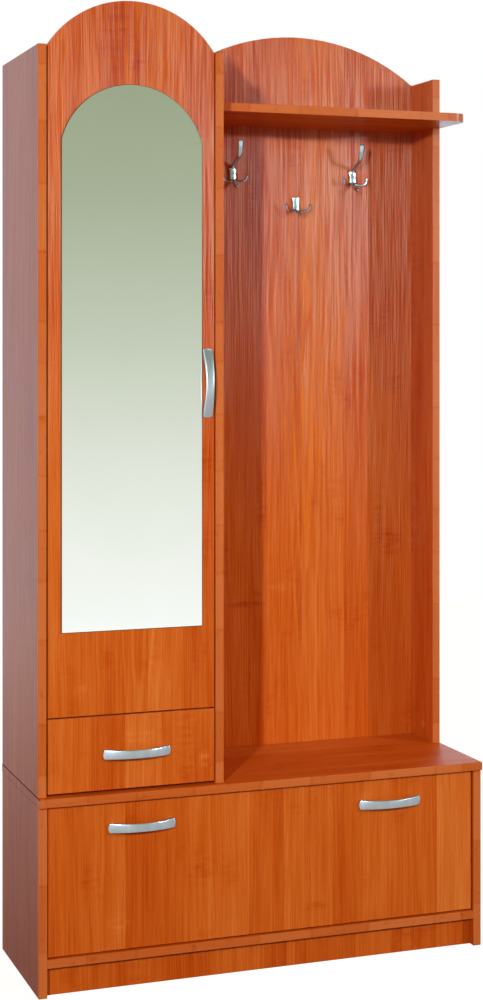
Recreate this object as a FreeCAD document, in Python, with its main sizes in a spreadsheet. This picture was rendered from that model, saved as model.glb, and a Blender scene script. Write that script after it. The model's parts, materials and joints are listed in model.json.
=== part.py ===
import FreeCAD, Part
import math
import os
from types import SimpleNamespace

import Sketcher

# Hallway unit: a shoe chest with a drop-down flap and a bench top, a tall mirrored cupboard
# with a drawer on its left half, and an open coat rack on its right half.
# The frame: X runs to the right along the front, Y to the wall behind, Z up from the floor.
# The origin is on the floor, half way along the width and half way from the front handles to the wall.

SIZES = {
    # Whole unit
    "overall_width": 1000,
    "carcass_depth": 338,
    "board": 18,
    "hardboard": 3,
    "hardboard_margin": 2,
    "front_gap": 3,
    "stop_gap": 1,
    "fit_play": 0.1,
    "cut_overrun": 2,
    # Shoe chest
    "base_height": 388,
    "plinth_height": 60,
    "plinth_setback": 18,
    "bench_overhang": 8,
    "flap_recess": 5.5,
    # Cupboard
    "cupboard_width": 400,
    "cupboard_setback": 7,
    "tall_height": 1534,
    "arch_rise": 98,
    "shelf_setback": 22,
    "shelf_play": 1,
    # Mirror
    "mirror_width": 303,
    "mirror_height": 1126,
    "mirror_arch_rise": 117,
    "mirror_lift": 172,
    "mirror_glass": 3,
    # Drawer
    "drawer_front_lift": 6,
    "drawer_front_height": 152,
    "drawer_box_lift": 15,
    "drawer_box_height": 96,
    "drawer_length": 300,
    "drawer_wall": 12,
    "groove_depth": 6,
    "groove_lift": 8,
    # Telescopic runners
    "runner_width": 12.7,
    "runner_height": 45,
    "runner_length": 298,
    "runner_gauge": 1.2,
    "runner_play": 0.6,
    "runner_lap": 3.2,
    # Coat rack
    "rack_side_depth": 133,
    "hat_shelf_drop": 95,
    "hat_shelf_setback": 55,
    "hat_shelf_radius": 30,
    # Bow handles
    "handle_length": 145,
    "handle_spacing": 128,
    "handle_projection": 24,
    "handle_gauge": 6,
    "handle_lip": 4,
    "handle_foot": 16,
    "handle_end_width": 21,
    "handle_waist": 17.5,
    "handle_end_round": 3.5,
    "door_handle_inset": 16,
    "door_handle_lift": 680,
    "flap_handle_drop": 51.5,
    "flap_handle_inset": 198.5,
    "drawer_handle_shift": 9,
    "drawer_handle_drop": 3,
    # Handle screws
    "machine_screw": 4,
    "machine_screw_bite": 5,
    "machine_head": 8,
    "machine_head_height": 2.4,
    # Concealed hinges
    "cup": 35,
    "cup_bore_depth": 12.5,
    "cup_edge": 4.5,
    "cup_wall": 2,
    "cup_flange_length": 56,
    "cup_flange_width": 18,
    "cup_flange": 1.4,
    "hinge_play": 0.3,
    "arm_width": 14,
    "arm_gauge": 4,
    "arm_length": 56,
    "nose_length": 12,
    "nose_dip": 3,
    "plate_wing": 50,
    "plate_wing_width": 12,
    "plate_gauge": 2,
    "plate_block_width": 15,
    "plate_block_height": 9,
    "plate_setback": 19,
    "plate_length": 36,
    "plate_hole_pitch": 32,
    "euro_screw": 6,
    "euro_screw_length": 11,
    "euro_head": 8,
    "euro_head_height": 1.5,
    "door_hinge_inset": 100,
    "flap_hinge_inset": 110,
    # Knock-down fittings and shelf pins
    "cam": 15,
    "cam_height": 12.5,
    "cam_distance": 34,
    "cam_bolt": 6,
    "cam_thread": 5,
    "cam_thread_depth": 11,
    "cam_gap": 0.3,
    "cam_cap": 17,
    "cam_cap_height": 1,
    "dowel": 8,
    "dowel_in_face": 11,
    "dowel_in_edge": 22,
    "dowel_chamfer": 1,
    "fitting_pitch": 32,
    "upper_row_inset": 52,
    "lower_row_inset": 115,
    "rack_row_inset": 120,
    "plinth_row_lift": 30,
    "pin": 5,
    "pin_depth": 8,
    "pin_reach": 9,
    # Coat hooks
    "left_hook_inset": 131,
    "right_hook_inset": 153,
    "small_hook_shift": 6,
    "tall_hook_drop": 113,
    "small_hook_drop": 177,
    "hook_height": 33,
    "hook_width": 24,
    "hook_waist": 15,
    "hook_body": 8,
    "hook_crown_radius": 17,
    "hook_seat": 1,
    "hook_screw": 3.6,
    "hook_screw_pitch": 10,
    "hook_screw_length": 22,
    "hook_screw_head": 6.4,
    "hook_screw_head_height": 1.6,
    # Wall brackets and wood screws
    "bracket_pitch": 140,
    "bracket_width": 22,
    "bracket_leg": 40,
    "bracket_foot": 34,
    "bracket_gauge": 2.5,
    "bracket_hole": 5.5,
    "bracket_hole_lift": 26,
    "bracket_screw_inset": 22,
    "wood_screw": 3.5,
    "wood_screw_length": 14,
    "wood_screw_head": 6.5,
    "wood_screw_head_height": 0.9,
    "runner_screw_inset": 37,
}

# The prongs of the coat hooks, as stations from the panel to the tip. Each station gives the way
# to the side, the way out from the panel, the height above the middle of the hook's body, and
# half the width and half the thickness there. All are shares of the hook body's height.
TALL_PRONG_SHARES = [
    (0.00, 0.12, 0.30, 0.17, 0.13),
    (0.00, 0.24, 0.62, 0.15, 0.12),
    (0.00, 0.58, 0.86, 0.13, 0.10),
    (0.00, 1.00, 1.00, 0.13, 0.09),
    (0.00, 1.42, 1.24, 0.15, 0.085),
    (0.00, 1.66, 1.66, 0.185, 0.08),
    (0.00, 1.77, 2.05, 0.215, 0.08),
    (0.00, 1.81, 2.20, 0.195, 0.07),
    (0.00, 1.83, 2.28, 0.10, 0.05),
]
SIDE_PRONG_SHARES = [
    (0.12, 0.13, -0.35, 0.10, 0.10),
    (0.36, 0.27, -0.42, 0.09, 0.09),
    (0.60, 0.41, -0.43, 0.085, 0.085),
    (0.78, 0.51, -0.35, 0.085, 0.085),
    (0.87, 0.56, -0.19, 0.085, 0.085),
    (0.89, 0.57, -0.06, 0.08, 0.08),
]
LOW_PRONG_SHARES = [
    (0.00, 0.14, -0.36, 0.12, 0.12),
    (0.00, 0.38, -0.62, 0.10, 0.10),
    (0.00, 0.68, -0.84, 0.09, 0.09),
    (0.00, 0.92, -0.90, 0.085, 0.085),
    (0.00, 1.07, -0.82, 0.08, 0.08),
]
SHORT_PRONG_SHARES = [
    (0.00, 0.14, -0.36, 0.12, 0.12),
    (0.00, 0.44, -0.52, 0.10, 0.10),
    (0.00, 0.80, -0.64, 0.09, 0.09),
    (0.00, 1.06, -0.64, 0.085, 0.085),
    (0.00, 1.19, -0.55, 0.08, 0.08),
]
PRONG_TIP_SHARE = 0.115


class Size:
    """A size that keeps its number together with the sheet expression that gives it."""

    def __init__(self, value, text):
        self.value = float(value)
        self.text = text

    def __add__(self, other):
        other = as_size(other)
        return Size(self.value + other.value, f"({self.text} + {other.text})")

    def __sub__(self, other):
        other = as_size(other)
        return Size(self.value - other.value, f"({self.text} - {other.text})")

    def __mul__(self, count):
        return Size(self.value * count, f"({self.text} * {count})")

    def __truediv__(self, count):
        return Size(self.value / count, f"({self.text} / {count})")

    def __neg__(self):
        return self * -1


def as_size(number):
    return number if isinstance(number, Size) else Size(number, str(number))


def bind(item, setting, size):
    """Ties one property of a document object to the size's expression."""
    item.setExpression(setting, as_size(size).text)


doc = FreeCAD.newDocument("HallwayUnit")
sheet = doc.addObject("Spreadsheet::Sheet", "Sizes")
for row, (name, number) in enumerate(SIZES.items(), 1):
    sheet.set(f"A{row}", name)
    sheet.set(f"B{row}", str(number))
    sheet.setAlias(f"B{row}", name)
doc.recompute()
s = SimpleNamespace(**{name: Size(number, f"Sizes.{name}") for name, number in SIZES.items()})

# Each origin plane by its normal: its role, whether its sketch looks along +axis, and its sketch axes.
PLANES = {
    "x": ("YZ_Plane", 1, "yz"),
    "y": ("XZ_Plane", -1, "xz"),
    "z": ("XY_Plane", 1, "xy"),
}
# Turns that bring +Z to each direction.
TURNS = {
    "+z": FreeCAD.Rotation(),
    "-z": FreeCAD.Rotation(FreeCAD.Vector(1, 0, 0), 180),
    "+x": FreeCAD.Rotation(FreeCAD.Vector(0, 1, 0), 90),
    "-x": FreeCAD.Rotation(FreeCAD.Vector(0, 1, 0), -90),
    "+y": FreeCAD.Rotation(FreeCAD.Vector(1, 0, 0), -90),
    "-y": FreeCAD.Rotation(FreeCAD.Vector(1, 0, 0), 90),
}
SENSES = {"+": 1, "-": -1}

nodes = []


def keep(item):
    """Lists a finished sub-part for writing out."""
    nodes.append(item)
    return item


def flat_point(place):
    return FreeCAD.Vector(place[0].value, place[1].value, 0)


def place_point(sketch, edge, end, place):
    """Holds one point of a sketch at its place by its two distances from the sketch's origin."""
    for kind, size in zip(("DistanceX", "DistanceY"), place):
        row = sketch.addConstraint(Sketcher.Constraint(kind, -1, 1, edge, end, size.value))
        bind(sketch, f"Constraints[{row}]", size)


def add_arc(sketch, start, via, end):
    """An arc between two places through a third, and the numbers of its first and last points."""
    first, middle, last = flat_point(start), flat_point(via), flat_point(end)
    round_path = Part.Circle(first, middle, last)
    leftward = (middle - first).cross(last - middle).z > 0
    opening, closing = (first, last) if leftward else (last, first)
    centre = round_path.Center
    angles = [math.atan2(point.y - centre.y, point.x - centre.x) for point in (opening, closing)]
    circle = Part.Circle(centre, FreeCAD.Vector(0, 0, 1), round_path.Radius)
    edge = sketch.addGeometry(Part.ArcOfCircle(circle, angles[0], angles[1]), False)
    mark = sketch.addGeometry(Part.Point(middle), True)
    place_point(sketch, mark, 1, via)
    sketch.addConstraint(Sketcher.Constraint("PointOnObject", mark, 1, edge))
    return (edge, 1, 2) if leftward else (edge, 2, 1)


def trace(sketch, corners):
    """A closed outline. A corner of four sizes is reached by an arc through its last two."""
    edges = []
    for number, corner in enumerate(corners):
        start = corners[number - 1][:2]
        if len(corner) == 2:
            line = Part.LineSegment(flat_point(start), flat_point(corner))
            edges.append((sketch.addGeometry(line, False), 1, 2))
        else:
            edges.append(add_arc(sketch, start, corner[2:], corner[:2]))
    for number, (edge, _, last) in enumerate(edges):
        following, first, _ = edges[(number + 1) % len(edges)]
        sketch.addConstraint(Sketcher.Constraint("Coincident", edge, last, following, first))
        place_point(sketch, edge, last, corners[number][:2])


def rectangle(across, along):
    return [(across[0], along[0]), (across[1], along[0]), (across[1], along[1]), (across[0], along[1])]


class Piece:
    """One body, drawn from its own low corner and put in the unit by that corner."""

    def __init__(self, label, corner=(0, 0, 0)):
        self.corner = dict(zip("xyz", [as_size(place) for place in corner]))
        self.body = doc.addObject("PartDesign::Body", label)
        self.body.Label = label
        for axis, place in self.corner.items():
            bind(self.body, f"Placement.Base.{axis}", place)

    def local(self, axes, sizes):
        return tuple(as_size(size) - self.corner[axis] for axis, size in zip(axes * 2, sizes))

    def sketch(self, normal, place, outlines=(), circles=()):
        """A sketch square to an axis, at a place along it, in the unit's own coordinates."""
        role, sense, axes = PLANES[normal]
        plane = next(item for item in self.body.Origin.OriginFeatures if item.Role == role)
        sketch = self.body.newObject("Sketcher::SketchObject", f"{self.body.Label}_sketch")
        sketch.AttachmentSupport = [(plane, "")]
        sketch.MapMode = "FlatFace"
        bind(sketch, "AttachmentOffset.Base.z", (as_size(place) - self.corner[normal]) * sense)
        for outline in outlines:
            trace(sketch, [self.local(axes, corner) for corner in outline])
        for centre, diameter in circles:
            middle = self.local(axes, centre)
            circle = Part.Circle(flat_point(middle), FreeCAD.Vector(0, 0, 1), diameter.value / 2)
            edge = sketch.addGeometry(circle, False)
            place_point(sketch, edge, 3, middle)
            row = sketch.addConstraint(Sketcher.Constraint("Diameter", edge, diameter.value))
            bind(sketch, f"Constraints[{row}]", diameter)
        return sketch

    def pad(self, normal, span, outlines=(), circles=()):
        """Material between two places along an axis."""
        feature = self.body.newObject("PartDesign::Pad", f"{self.body.Label}_pad")
        feature.Profile = self.sketch(normal, span[0], outlines, circles)
        feature.Reversed = PLANES[normal][1] < 0
        bind(feature, "Length", as_size(span[1]) - span[0])
        return self

    def cut(self, way, place, depth, outlines=(), circles=()):
        """A pocket from a place along an axis, in the direction that way gives."""
        sense, normal = way
        sketch = self.sketch(normal, place, outlines, circles)
        feature = self.body.newObject("PartDesign::Pocket", f"{self.body.Label}_cut")
        feature.Profile = sketch
        feature.Reversed = SENSES[sense] == PLANES[normal][1]
        bind(feature, "Length", depth)
        return self

    def revolve(self, outline):
        """A turned piece about Z, from an outline of radii and heights."""
        feature = self.body.newObject("PartDesign::Revolution", f"{self.body.Label}_turn")
        sketch = self.sketch("y", 0, [outline])
        feature.Profile = sketch
        feature.ReferenceAxis = (sketch, ["V_Axis"])
        feature.Angle = 360
        return self


def board(label, x, y, z):
    """A flat board between two places on each axis, padded through its thickness."""
    spans = {"x": x, "y": y, "z": z}
    normal = min(spans, key=lambda axis: (as_size(spans[axis][1]) - spans[axis][0]).value)
    across, along = [spans[axis] for axis in PLANES[normal][2]]
    piece = Piece(label, (x[0], y[0], z[0]))
    piece.pad(normal, spans[normal], [rectangle(across, along)])
    keep(piece.body)
    return piece


def panel_with_arch(label, x, y, z, rise):
    """An upright board whose top edge is an arch between the tops of its two sides."""
    piece = Piece(label, (x[0], y[0], z[0]))
    middle = (x[0] + x[1]) / 2
    arch = (x[0], z[1], middle, z[1] + rise)
    piece.pad("y", y, [[(x[0], z[0]), (x[1], z[0]), (x[1], z[1]), arch]])
    keep(piece.body)
    return piece


class Group:
    """Copies of one fitting, kept as one sub-part of separate solids."""

    def __init__(self, label, pattern):
        self.label = label
        self.pattern = pattern.body
        self.copies = []

    def add(self, place, turn=TURNS["+z"]):
        copy = doc.addObject("App::Link", f"{self.label}_copy")
        copy.LinkedObject = self.pattern
        copy.Placement = FreeCAD.Placement(FreeCAD.Vector(), turn)
        for axis, size in zip("xyz", place):
            bind(copy, f"Placement.Base.{axis}", size)
        self.copies.append(copy)

    def close(self):
        gather(self.label, self.copies)


def gather(label, items):
    group = doc.addObject("Part::Compound", label)
    group.Label = label
    group.Links = items
    return keep(group)


def turned(label, outline):
    return Piece(label).revolve([tuple(as_size(size) for size in corner) for corner in outline])


def screw(label, shank, length, head, head_height):
    """A pan-head screw along +Z, with the underside of its head at the origin."""
    return turned(label, [
        (0, -head_height),
        (head / 2, -head_height),
        (head / 2, 0),
        (shank / 2, 0),
        (shank / 2, length - shank / 2),
        (0, length),
    ])


# Places in the unit that several pieces share.
left = -s.overall_width / 2
right = s.overall_width / 2
back = (s.carcass_depth + s.handle_projection - s.flap_recess) / 2
base_front = back - s.carcass_depth
rear_edge = back - s.hardboard
base_floor = s.plinth_height + s.board
bench = s.base_height + s.board
side_top = bench + s.tall_height
inner_left = left + s.board
inner_right = right - s.board
middle_right = left + s.cupboard_width
middle_left = middle_right - s.board
flap_front = base_front + s.flap_recess
flap_back = flap_front + s.board
cupboard_front = base_front + s.cupboard_setback
door_back = cupboard_front + s.board
behind_door = door_back + s.stop_gap
behind_flap = flap_back + s.stop_gap
drawer_front_bottom = bench + s.drawer_front_lift
drawer_front_top = drawer_front_bottom + s.drawer_front_height
door_bottom = drawer_front_top + s.front_gap
divider_middle = door_bottom - s.front_gap / 2
divider_top = divider_middle + s.board / 2
rack_face = back - s.board
rack_side_front = back - s.rack_side_depth
hat_shelf_top = side_top - s.hat_shelf_drop
hat_shelf_front = cupboard_front + s.hat_shelf_setback
door_left = inner_left + s.front_gap
door_right = middle_left - s.front_gap

# Shoe chest
base_left_side = board("base_left_side", (left, inner_left), (base_front, rear_edge), (0, s.base_height))
base_right_side = board("base_right_side", (inner_right, right), (base_front, rear_edge), (0, s.base_height))
base_bottom = board(
    "base_bottom", (inner_left, inner_right), (base_front, rear_edge), (s.plinth_height, base_floor)
)
plinth_front = base_front + s.plinth_setback
plinth_back = plinth_front + s.board
plinth = board("plinth", (inner_left, inner_right), (plinth_front, plinth_back), (0, s.plinth_height))
base_partition = board(
    "base_partition", (middle_left, middle_right), (behind_flap, rear_edge), (base_floor, s.base_height)
)
board(
    "base_back",
    (left + s.hardboard_margin, right - s.hardboard_margin),
    (rear_edge, back),
    (s.plinth_height + s.hardboard_margin, s.base_height - s.hardboard_margin),
)
bench_top = board("bench_top", (left, right), (base_front - s.bench_overhang, back), (s.base_height, bench))

# Cupboard carcass
cupboard_left_side = board(
    "cupboard_left_side", (left, inner_left), (cupboard_front, rear_edge), (bench, side_top)
)
cupboard_middle_side = board(
    "cupboard_middle_side", (middle_left, middle_right), (cupboard_front, rear_edge), (bench, side_top)
)
between_sides = (inner_left, middle_left)
cupboard_bottom = board("cupboard_bottom", between_sides, (behind_door, rear_edge), (bench, bench + s.board))
cupboard_divider = board(
    "cupboard_divider", between_sides, (behind_door, rear_edge), (divider_top - s.board, divider_top)
)
cupboard_top = board("cupboard_top", between_sides, (behind_door, rear_edge), (side_top - s.board, side_top))
board(
    "cupboard_back",
    (left + s.hardboard_margin, middle_right - s.hardboard_margin),
    (rear_edge, back),
    (bench, side_top - s.hardboard_margin),
)

# Coat rack
rack_back_panel = panel_with_arch(
    "rack_back_panel", (middle_right, inner_right), (rack_face, back), (bench, side_top), s.arch_rise
)
rack_side_panel = board("rack_side_panel", (inner_right, right), (rack_side_front, back), (bench, side_top))


def make_hat_shelf():
    """The shelf runs past the front of the side panel to the unit's end, with one rounded corner."""
    piece = Piece("hat_shelf", (middle_right, hat_shelf_front, hat_shelf_top - s.board))
    lag = s.hat_shelf_radius * (1 - math.sqrt(0.5))
    corner_end = hat_shelf_front + s.hat_shelf_radius
    piece.pad("z", (hat_shelf_top - s.board, hat_shelf_top), [[
        (middle_right, hat_shelf_front),
        (right - s.hat_shelf_radius, hat_shelf_front),
        (right, corner_end, right - lag, hat_shelf_front + lag),
        (right, rack_side_front),
        (inner_right, rack_side_front),
        (inner_right, rack_face),
        (middle_right, rack_face),
    ]])
    keep(piece.body)
    return piece


hat_shelf = make_hat_shelf()

# Knock-down fittings: cams with their bolts, and dowels beside them
cam_locks = Group("cam_locks", turned("cam_pattern", [
    (0, 0),
    (s.cam / 2 - s.fit_play, 0),
    (s.cam / 2 - s.fit_play, s.cam_height),
    (0, s.cam_height),
]))
bolt_reach = s.cam_distance - s.cam / 2 - s.cam_gap
cam_bolts = Group("cam_bolts", turned("cam_bolt_pattern", [
    (0, s.fit_play - s.cam_thread_depth),
    (s.cam_thread / 2 - s.fit_play, s.fit_play - s.cam_thread_depth),
    (s.cam_thread / 2 - s.fit_play, 0),
    (s.cam_bolt / 2, 0),
    (s.cam_bolt / 2, bolt_reach),
    (0, bolt_reach),
]))
dowel_radius = s.dowel / 2 - s.fit_play
dowels = Group("dowels", turned("dowel_pattern", [
    (0, s.fit_play - s.dowel_in_face),
    (dowel_radius - s.dowel_chamfer, s.fit_play - s.dowel_in_face),
    (dowel_radius, s.fit_play - s.dowel_in_face + s.dowel_chamfer),
    (dowel_radius, s.dowel_in_edge - s.fit_play - s.dowel_chamfer),
    (dowel_radius - s.dowel_chamfer, s.dowel_in_edge - s.fit_play),
    (0, s.dowel_in_edge - s.fit_play),
]))
cam_caps = Group("cam_caps", turned("cam_cap_pattern", [
    (0, 0),
    (s.cam_cap / 2, 0),
    (s.cam_cap / 2, s.cam_cap_height / 2),
    (s.cam_cap / 2 - s.cam_cap_height / 2, s.cam_cap_height),
    (0, s.cam_cap_height),
]))


def join(carrier, other, into, seam, cam_into, cam_face, cam_rows, dowel_rows, capped=False):
    """Joins the edge of one board to the face of another.

    The carrier's edge meets the other board at seam. Bolts and dowels run into the carrier along
    the way into; its cams are bored from cam_face along cam_into. Rows are places on the third axis.
    """
    run_axis, cam_axis = into[1], cam_into[1]
    row_axis = next(axis for axis in "xyz" if axis not in (run_axis, cam_axis))
    middle = cam_face + s.board * (SENSES[cam_into[0]] / 2)
    away = {"+": "-", "-": "+"}[into[0]] + run_axis

    def spots(rows, axes):
        places = [{run_axis: seam, cam_axis: middle, row_axis: row} for row in rows]
        return [tuple(place[axis] for axis in axes) for place in places]

    seam_axes = PLANES[run_axis][2]
    for rows, bore, in_edge, in_face, fastener in (
        (cam_rows, s.cam_bolt + s.fit_play * 2, s.cam_distance, None, cam_bolts),
        (dowel_rows, s.dowel, s.dowel_in_edge, s.dowel_in_face, dowels),
    ):
        if not rows:
            continue
        holes = [(spot, bore) for spot in spots(rows, seam_axes)]
        carrier.cut(into, seam, in_edge, circles=holes)
        if in_face is None:
            in_face = s.cam_thread_depth
            holes = [(spot, s.cam_thread) for spot in spots(rows, seam_axes)]
        other.cut(away, seam, in_face, circles=holes)
        for spot in spots(rows, "xyz"):
            fastener.add(spot, TURNS[into])
    cam_axes = PLANES[cam_axis][2]
    cam_place = {run_axis: seam + s.cam_distance * SENSES[into[0]], cam_axis: cam_face}
    cam_spots = [{**cam_place, row_axis: row} for row in cam_rows]
    if cam_spots:
        cam_holes = [(tuple(spot[axis] for axis in cam_axes), s.cam) for spot in cam_spots]
        carrier.cut(cam_into, cam_face, s.cam_height + s.fit_play, circles=cam_holes)
    for spot in cam_spots:
        place = tuple(spot[axis] for axis in "xyz")
        cam_locks.add(place, TURNS[cam_into])
        if capped:
            outward = {"+": "-", "-": "+"}[cam_into[0]] + cam_axis
            cam_caps.add(place, TURNS[outward])


def row_pair(low, high, inset):
    """Cam rows at an inset from both ends, and dowel rows one pitch further in."""
    cams = [low + inset, high - inset]
    pegs = [low + inset + s.fitting_pitch, high - inset - s.fitting_pitch]
    return cams, pegs


upper_rows = row_pair(cupboard_front, rear_edge, s.upper_row_inset)
lower_rows = row_pair(base_front, rear_edge, s.lower_row_inset)
join(cupboard_left_side, bench_top, "+z", bench, "-x", inner_left, *upper_rows)
join(cupboard_middle_side, bench_top, "+z", bench, "+x", middle_left, *upper_rows)
join(base_left_side, bench_top, "-z", s.base_height, "-x", inner_left, *lower_rows)
join(base_right_side, bench_top, "-z", s.base_height, "+x", inner_right, *lower_rows)
join(base_partition, bench_top, "-z", s.base_height, "+x", middle_left, *lower_rows)
join(base_partition, base_bottom, "+z", base_floor, "+x", middle_left, *lower_rows)
join(base_bottom, base_left_side, "+x", inner_left, "+z", s.plinth_height, *lower_rows)
join(base_bottom, base_right_side, "-x", inner_right, "+z", s.plinth_height, *lower_rows)
plinth_rows = [s.plinth_row_lift]
join(plinth, base_left_side, "+x", inner_left, "-y", plinth_back, [], plinth_rows)
join(plinth, base_right_side, "-x", inner_right, "-y", plinth_back, [], plinth_rows)
for shelf_board, cam_into, cam_face in (
    (cupboard_top, "-z", side_top),
    (cupboard_divider, "+z", divider_top - s.board),
    (cupboard_bottom, "-z", bench + s.board),
):
    join(shelf_board, cupboard_left_side, "+x", inner_left, cam_into, cam_face, *lower_rows)
    join(shelf_board, cupboard_middle_side, "-x", middle_left, cam_into, cam_face, *lower_rows)
rack_cam_row = rack_side_front + s.upper_row_inset
rack_peg_row = rack_cam_row + s.fitting_pitch
join(
    rack_side_panel, bench_top, "+z", bench, "+x", inner_right, [rack_cam_row], [rack_peg_row], capped=True
)
rack_foot_rows = row_pair(middle_right, inner_right, s.rack_row_inset)
join(rack_back_panel, bench_top, "+z", bench, "-y", back, *rack_foot_rows)
rack_edge_rows = row_pair(bench, side_top, s.rack_row_inset)
join(rack_back_panel, cupboard_middle_side, "+x", middle_right, "-y", back, *rack_edge_rows)
join(rack_back_panel, rack_side_panel, "-x", inner_right, "-y", back, *rack_edge_rows)
hat_rows = row_pair(hat_shelf_front, rack_face, s.upper_row_inset)
join(hat_shelf, cupboard_middle_side, "+x", middle_right, "-z", hat_shelf_top, *hat_rows)
join(hat_shelf, rack_side_panel, "-x", inner_right, "-z", hat_shelf_top, [], [rack_cam_row])
join(hat_shelf, rack_back_panel, "-y", rack_face, "-z", hat_shelf_top, [], rack_foot_rows[0])
for fittings in (cam_locks, cam_bolts, dowels, cam_caps):
    fittings.close()

# Loose shelves on pins
pin_radius = s.pin / 2 - s.fit_play
shelf_pins = Group("shelf_pins", turned("shelf_pin_pattern", [
    (0, s.fit_play - s.pin_depth),
    (pin_radius, s.fit_play - s.pin_depth),
    (pin_radius, s.pin_reach),
    (0, s.pin_reach),
]))


def loose_shelf(label, low_side, high_side, walls, y, underside):
    """A shelf between two walls, on two pins at each end."""
    board(
        label,
        (low_side + s.shelf_play, high_side - s.shelf_play),
        y,
        (underside, underside + s.board),
    )
    pin_height = underside - pin_radius
    rows = [y[0] + s.fitting_pitch, y[1] - s.fitting_pitch]
    ends = ((walls[0], low_side, "-x", "+x"), (walls[1], high_side, "+x", "-x"))
    for wall, face, into_wall, out in ends:
        wall.cut(into_wall, face, s.pin_depth, circles=[((row, pin_height), s.pin) for row in rows])
        for row in rows:
            shelf_pins.add((face, row, pin_height), TURNS[out])


shelf_span = (behind_door + s.shelf_setback, rear_edge - s.shelf_play)
shelf_names = ("lower_shelf", "middle_shelf", "upper_shelf")
shelf_room = side_top - s.board - divider_top
for number, label in enumerate(shelf_names, 1):
    height = divider_top + shelf_room * (number / (len(shelf_names) + 1)) - s.board / 2
    walls = (cupboard_left_side, cupboard_middle_side)
    loose_shelf(label, inner_left, middle_left, walls, shelf_span, height)
shoe_span = (behind_flap + s.shelf_setback, rear_edge - s.shelf_play)
shoe_height = base_floor + (s.base_height - base_floor) / 2 - s.board / 2
loose_shelf(
    "shoe_shelf", middle_right, inner_right, (base_partition, base_right_side), shoe_span, shoe_height
)
shelf_pins.close()

# Door, flap and drawer front
door = panel_with_arch(
    "door", (door_left, door_right), (cupboard_front, door_back), (door_bottom, side_top), s.arch_rise
)
flap_left = inner_left + s.front_gap
flap_right = inner_right - s.front_gap
flap_bottom = base_floor + s.front_gap
flap_top = s.base_height - s.front_gap
flap = board("flap", (flap_left, flap_right), (flap_front, flap_back), (flap_bottom, flap_top))
drawer_front = board(
    "drawer_front",
    (door_left, door_right),
    (cupboard_front, door_back),
    (drawer_front_bottom, drawer_front_top),
)

mirror_middle = (door_left + door_right) / 2
mirror_bottom = door_bottom + s.mirror_lift
panel_with_arch(
    "mirror",
    (mirror_middle - s.mirror_width / 2, mirror_middle + s.mirror_width / 2),
    (cupboard_front - s.mirror_glass, cupboard_front),
    (mirror_bottom, mirror_bottom + s.mirror_height - s.mirror_arch_rise),
    s.mirror_arch_rise,
)

# Drawer box
box_front = door_back
box_back = box_front + s.drawer_length
box_left = inner_left + s.runner_width
box_right = middle_left - s.runner_width
box_bottom = drawer_front_bottom + s.drawer_box_lift
box_top = box_bottom + s.drawer_box_height
box_inner_left = box_left + s.drawer_wall
box_inner_right = box_right - s.drawer_wall
tray_bottom = box_bottom + s.groove_lift
tray_top = tray_bottom + s.hardboard
groove = (tray_bottom - s.fit_play, tray_top + s.fit_play)
groove_start = box_front + s.drawer_wall - s.groove_depth
groove_end = box_back + s.cut_overrun
drawer_left_side = board(
    "drawer_left_side", (box_left, box_inner_left), (box_front, box_back), (box_bottom, box_top)
)
drawer_left_side.cut("-x", box_inner_left, s.groove_depth, [rectangle((groove_start, groove_end), groove)])
drawer_right_side = board(
    "drawer_right_side", (box_inner_right, box_right), (box_front, box_back), (box_bottom, box_top)
)
drawer_right_side.cut("+x", box_inner_right, s.groove_depth, [rectangle((groove_start, groove_end), groove)])
inner_front_back = box_front + s.drawer_wall
drawer_inner_front = board(
    "drawer_inner_front",
    (box_inner_left, box_inner_right),
    (box_front, inner_front_back),
    (box_bottom, box_top),
)
inner_groove = (box_inner_left - s.cut_overrun, box_inner_right + s.cut_overrun)
drawer_inner_front.cut("-y", inner_front_back, s.groove_depth, [rectangle(inner_groove, groove)])
board(
    "drawer_back",
    (box_inner_left, box_inner_right),
    (box_back - s.drawer_wall, box_back),
    (tray_top + s.fit_play, box_top),
)
tray_reach = s.groove_depth - s.fit_play
board(
    "drawer_bottom",
    (box_inner_left - tray_reach, box_inner_right + tray_reach),
    (inner_front_back - tray_reach, box_back),
    (tray_bottom, tray_top),
)

# Bow handles
machine_head = (s.machine_screw, s.board + s.machine_screw_bite, s.machine_head, s.machine_head_height)


def bow_handle(label, place, turn=TURNS["+z"]):
    """A flat bow between two feet, drawn along X and standing out along -Y from the origin."""
    piece = Piece(label)
    end = s.handle_length / 2
    inner_end = end - s.handle_foot
    half_width = s.handle_end_width / 2
    half_waist = s.handle_waist / 2
    shoulder = end - s.handle_end_round
    crown = -s.handle_projection
    piece.pad("z", (-half_width, half_width), [[
        (-end, as_size(0)),
        (-end, -s.handle_lip),
        (end, -s.handle_lip, as_size(0), crown),
        (end, as_size(0)),
        (inner_end, as_size(0)),
        (-inner_end, as_size(0), as_size(0), crown + s.handle_gauge),
    ]])
    margin = end + s.cut_overrun
    edge = half_width + s.cut_overrun
    piece.cut("-y", s.cut_overrun, s.handle_projection + s.cut_overrun * 2, [
        rectangle((-margin, margin), (-edge, edge)),
        [
            (shoulder, -half_width, as_size(0), -half_waist),
            (shoulder, half_width, end, as_size(0)),
            (-shoulder, half_width, as_size(0), half_waist),
            (-shoulder, -half_width, -end, as_size(0)),
        ],
    ])
    half_spacing = s.handle_spacing / 2
    thread = s.machine_screw + s.fit_play
    feet = [((foot, 0), thread) for foot in (-half_spacing, half_spacing)]
    piece.cut("-y", 0, s.machine_screw_bite + s.fit_play, circles=feet)
    piece.body.Placement = FreeCAD.Placement(FreeCAD.Vector(), turn)
    for axis, size in zip("xyz", place):
        bind(piece.body, f"Placement.Base.{axis}", size)
    return keep(piece.body)


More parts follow.
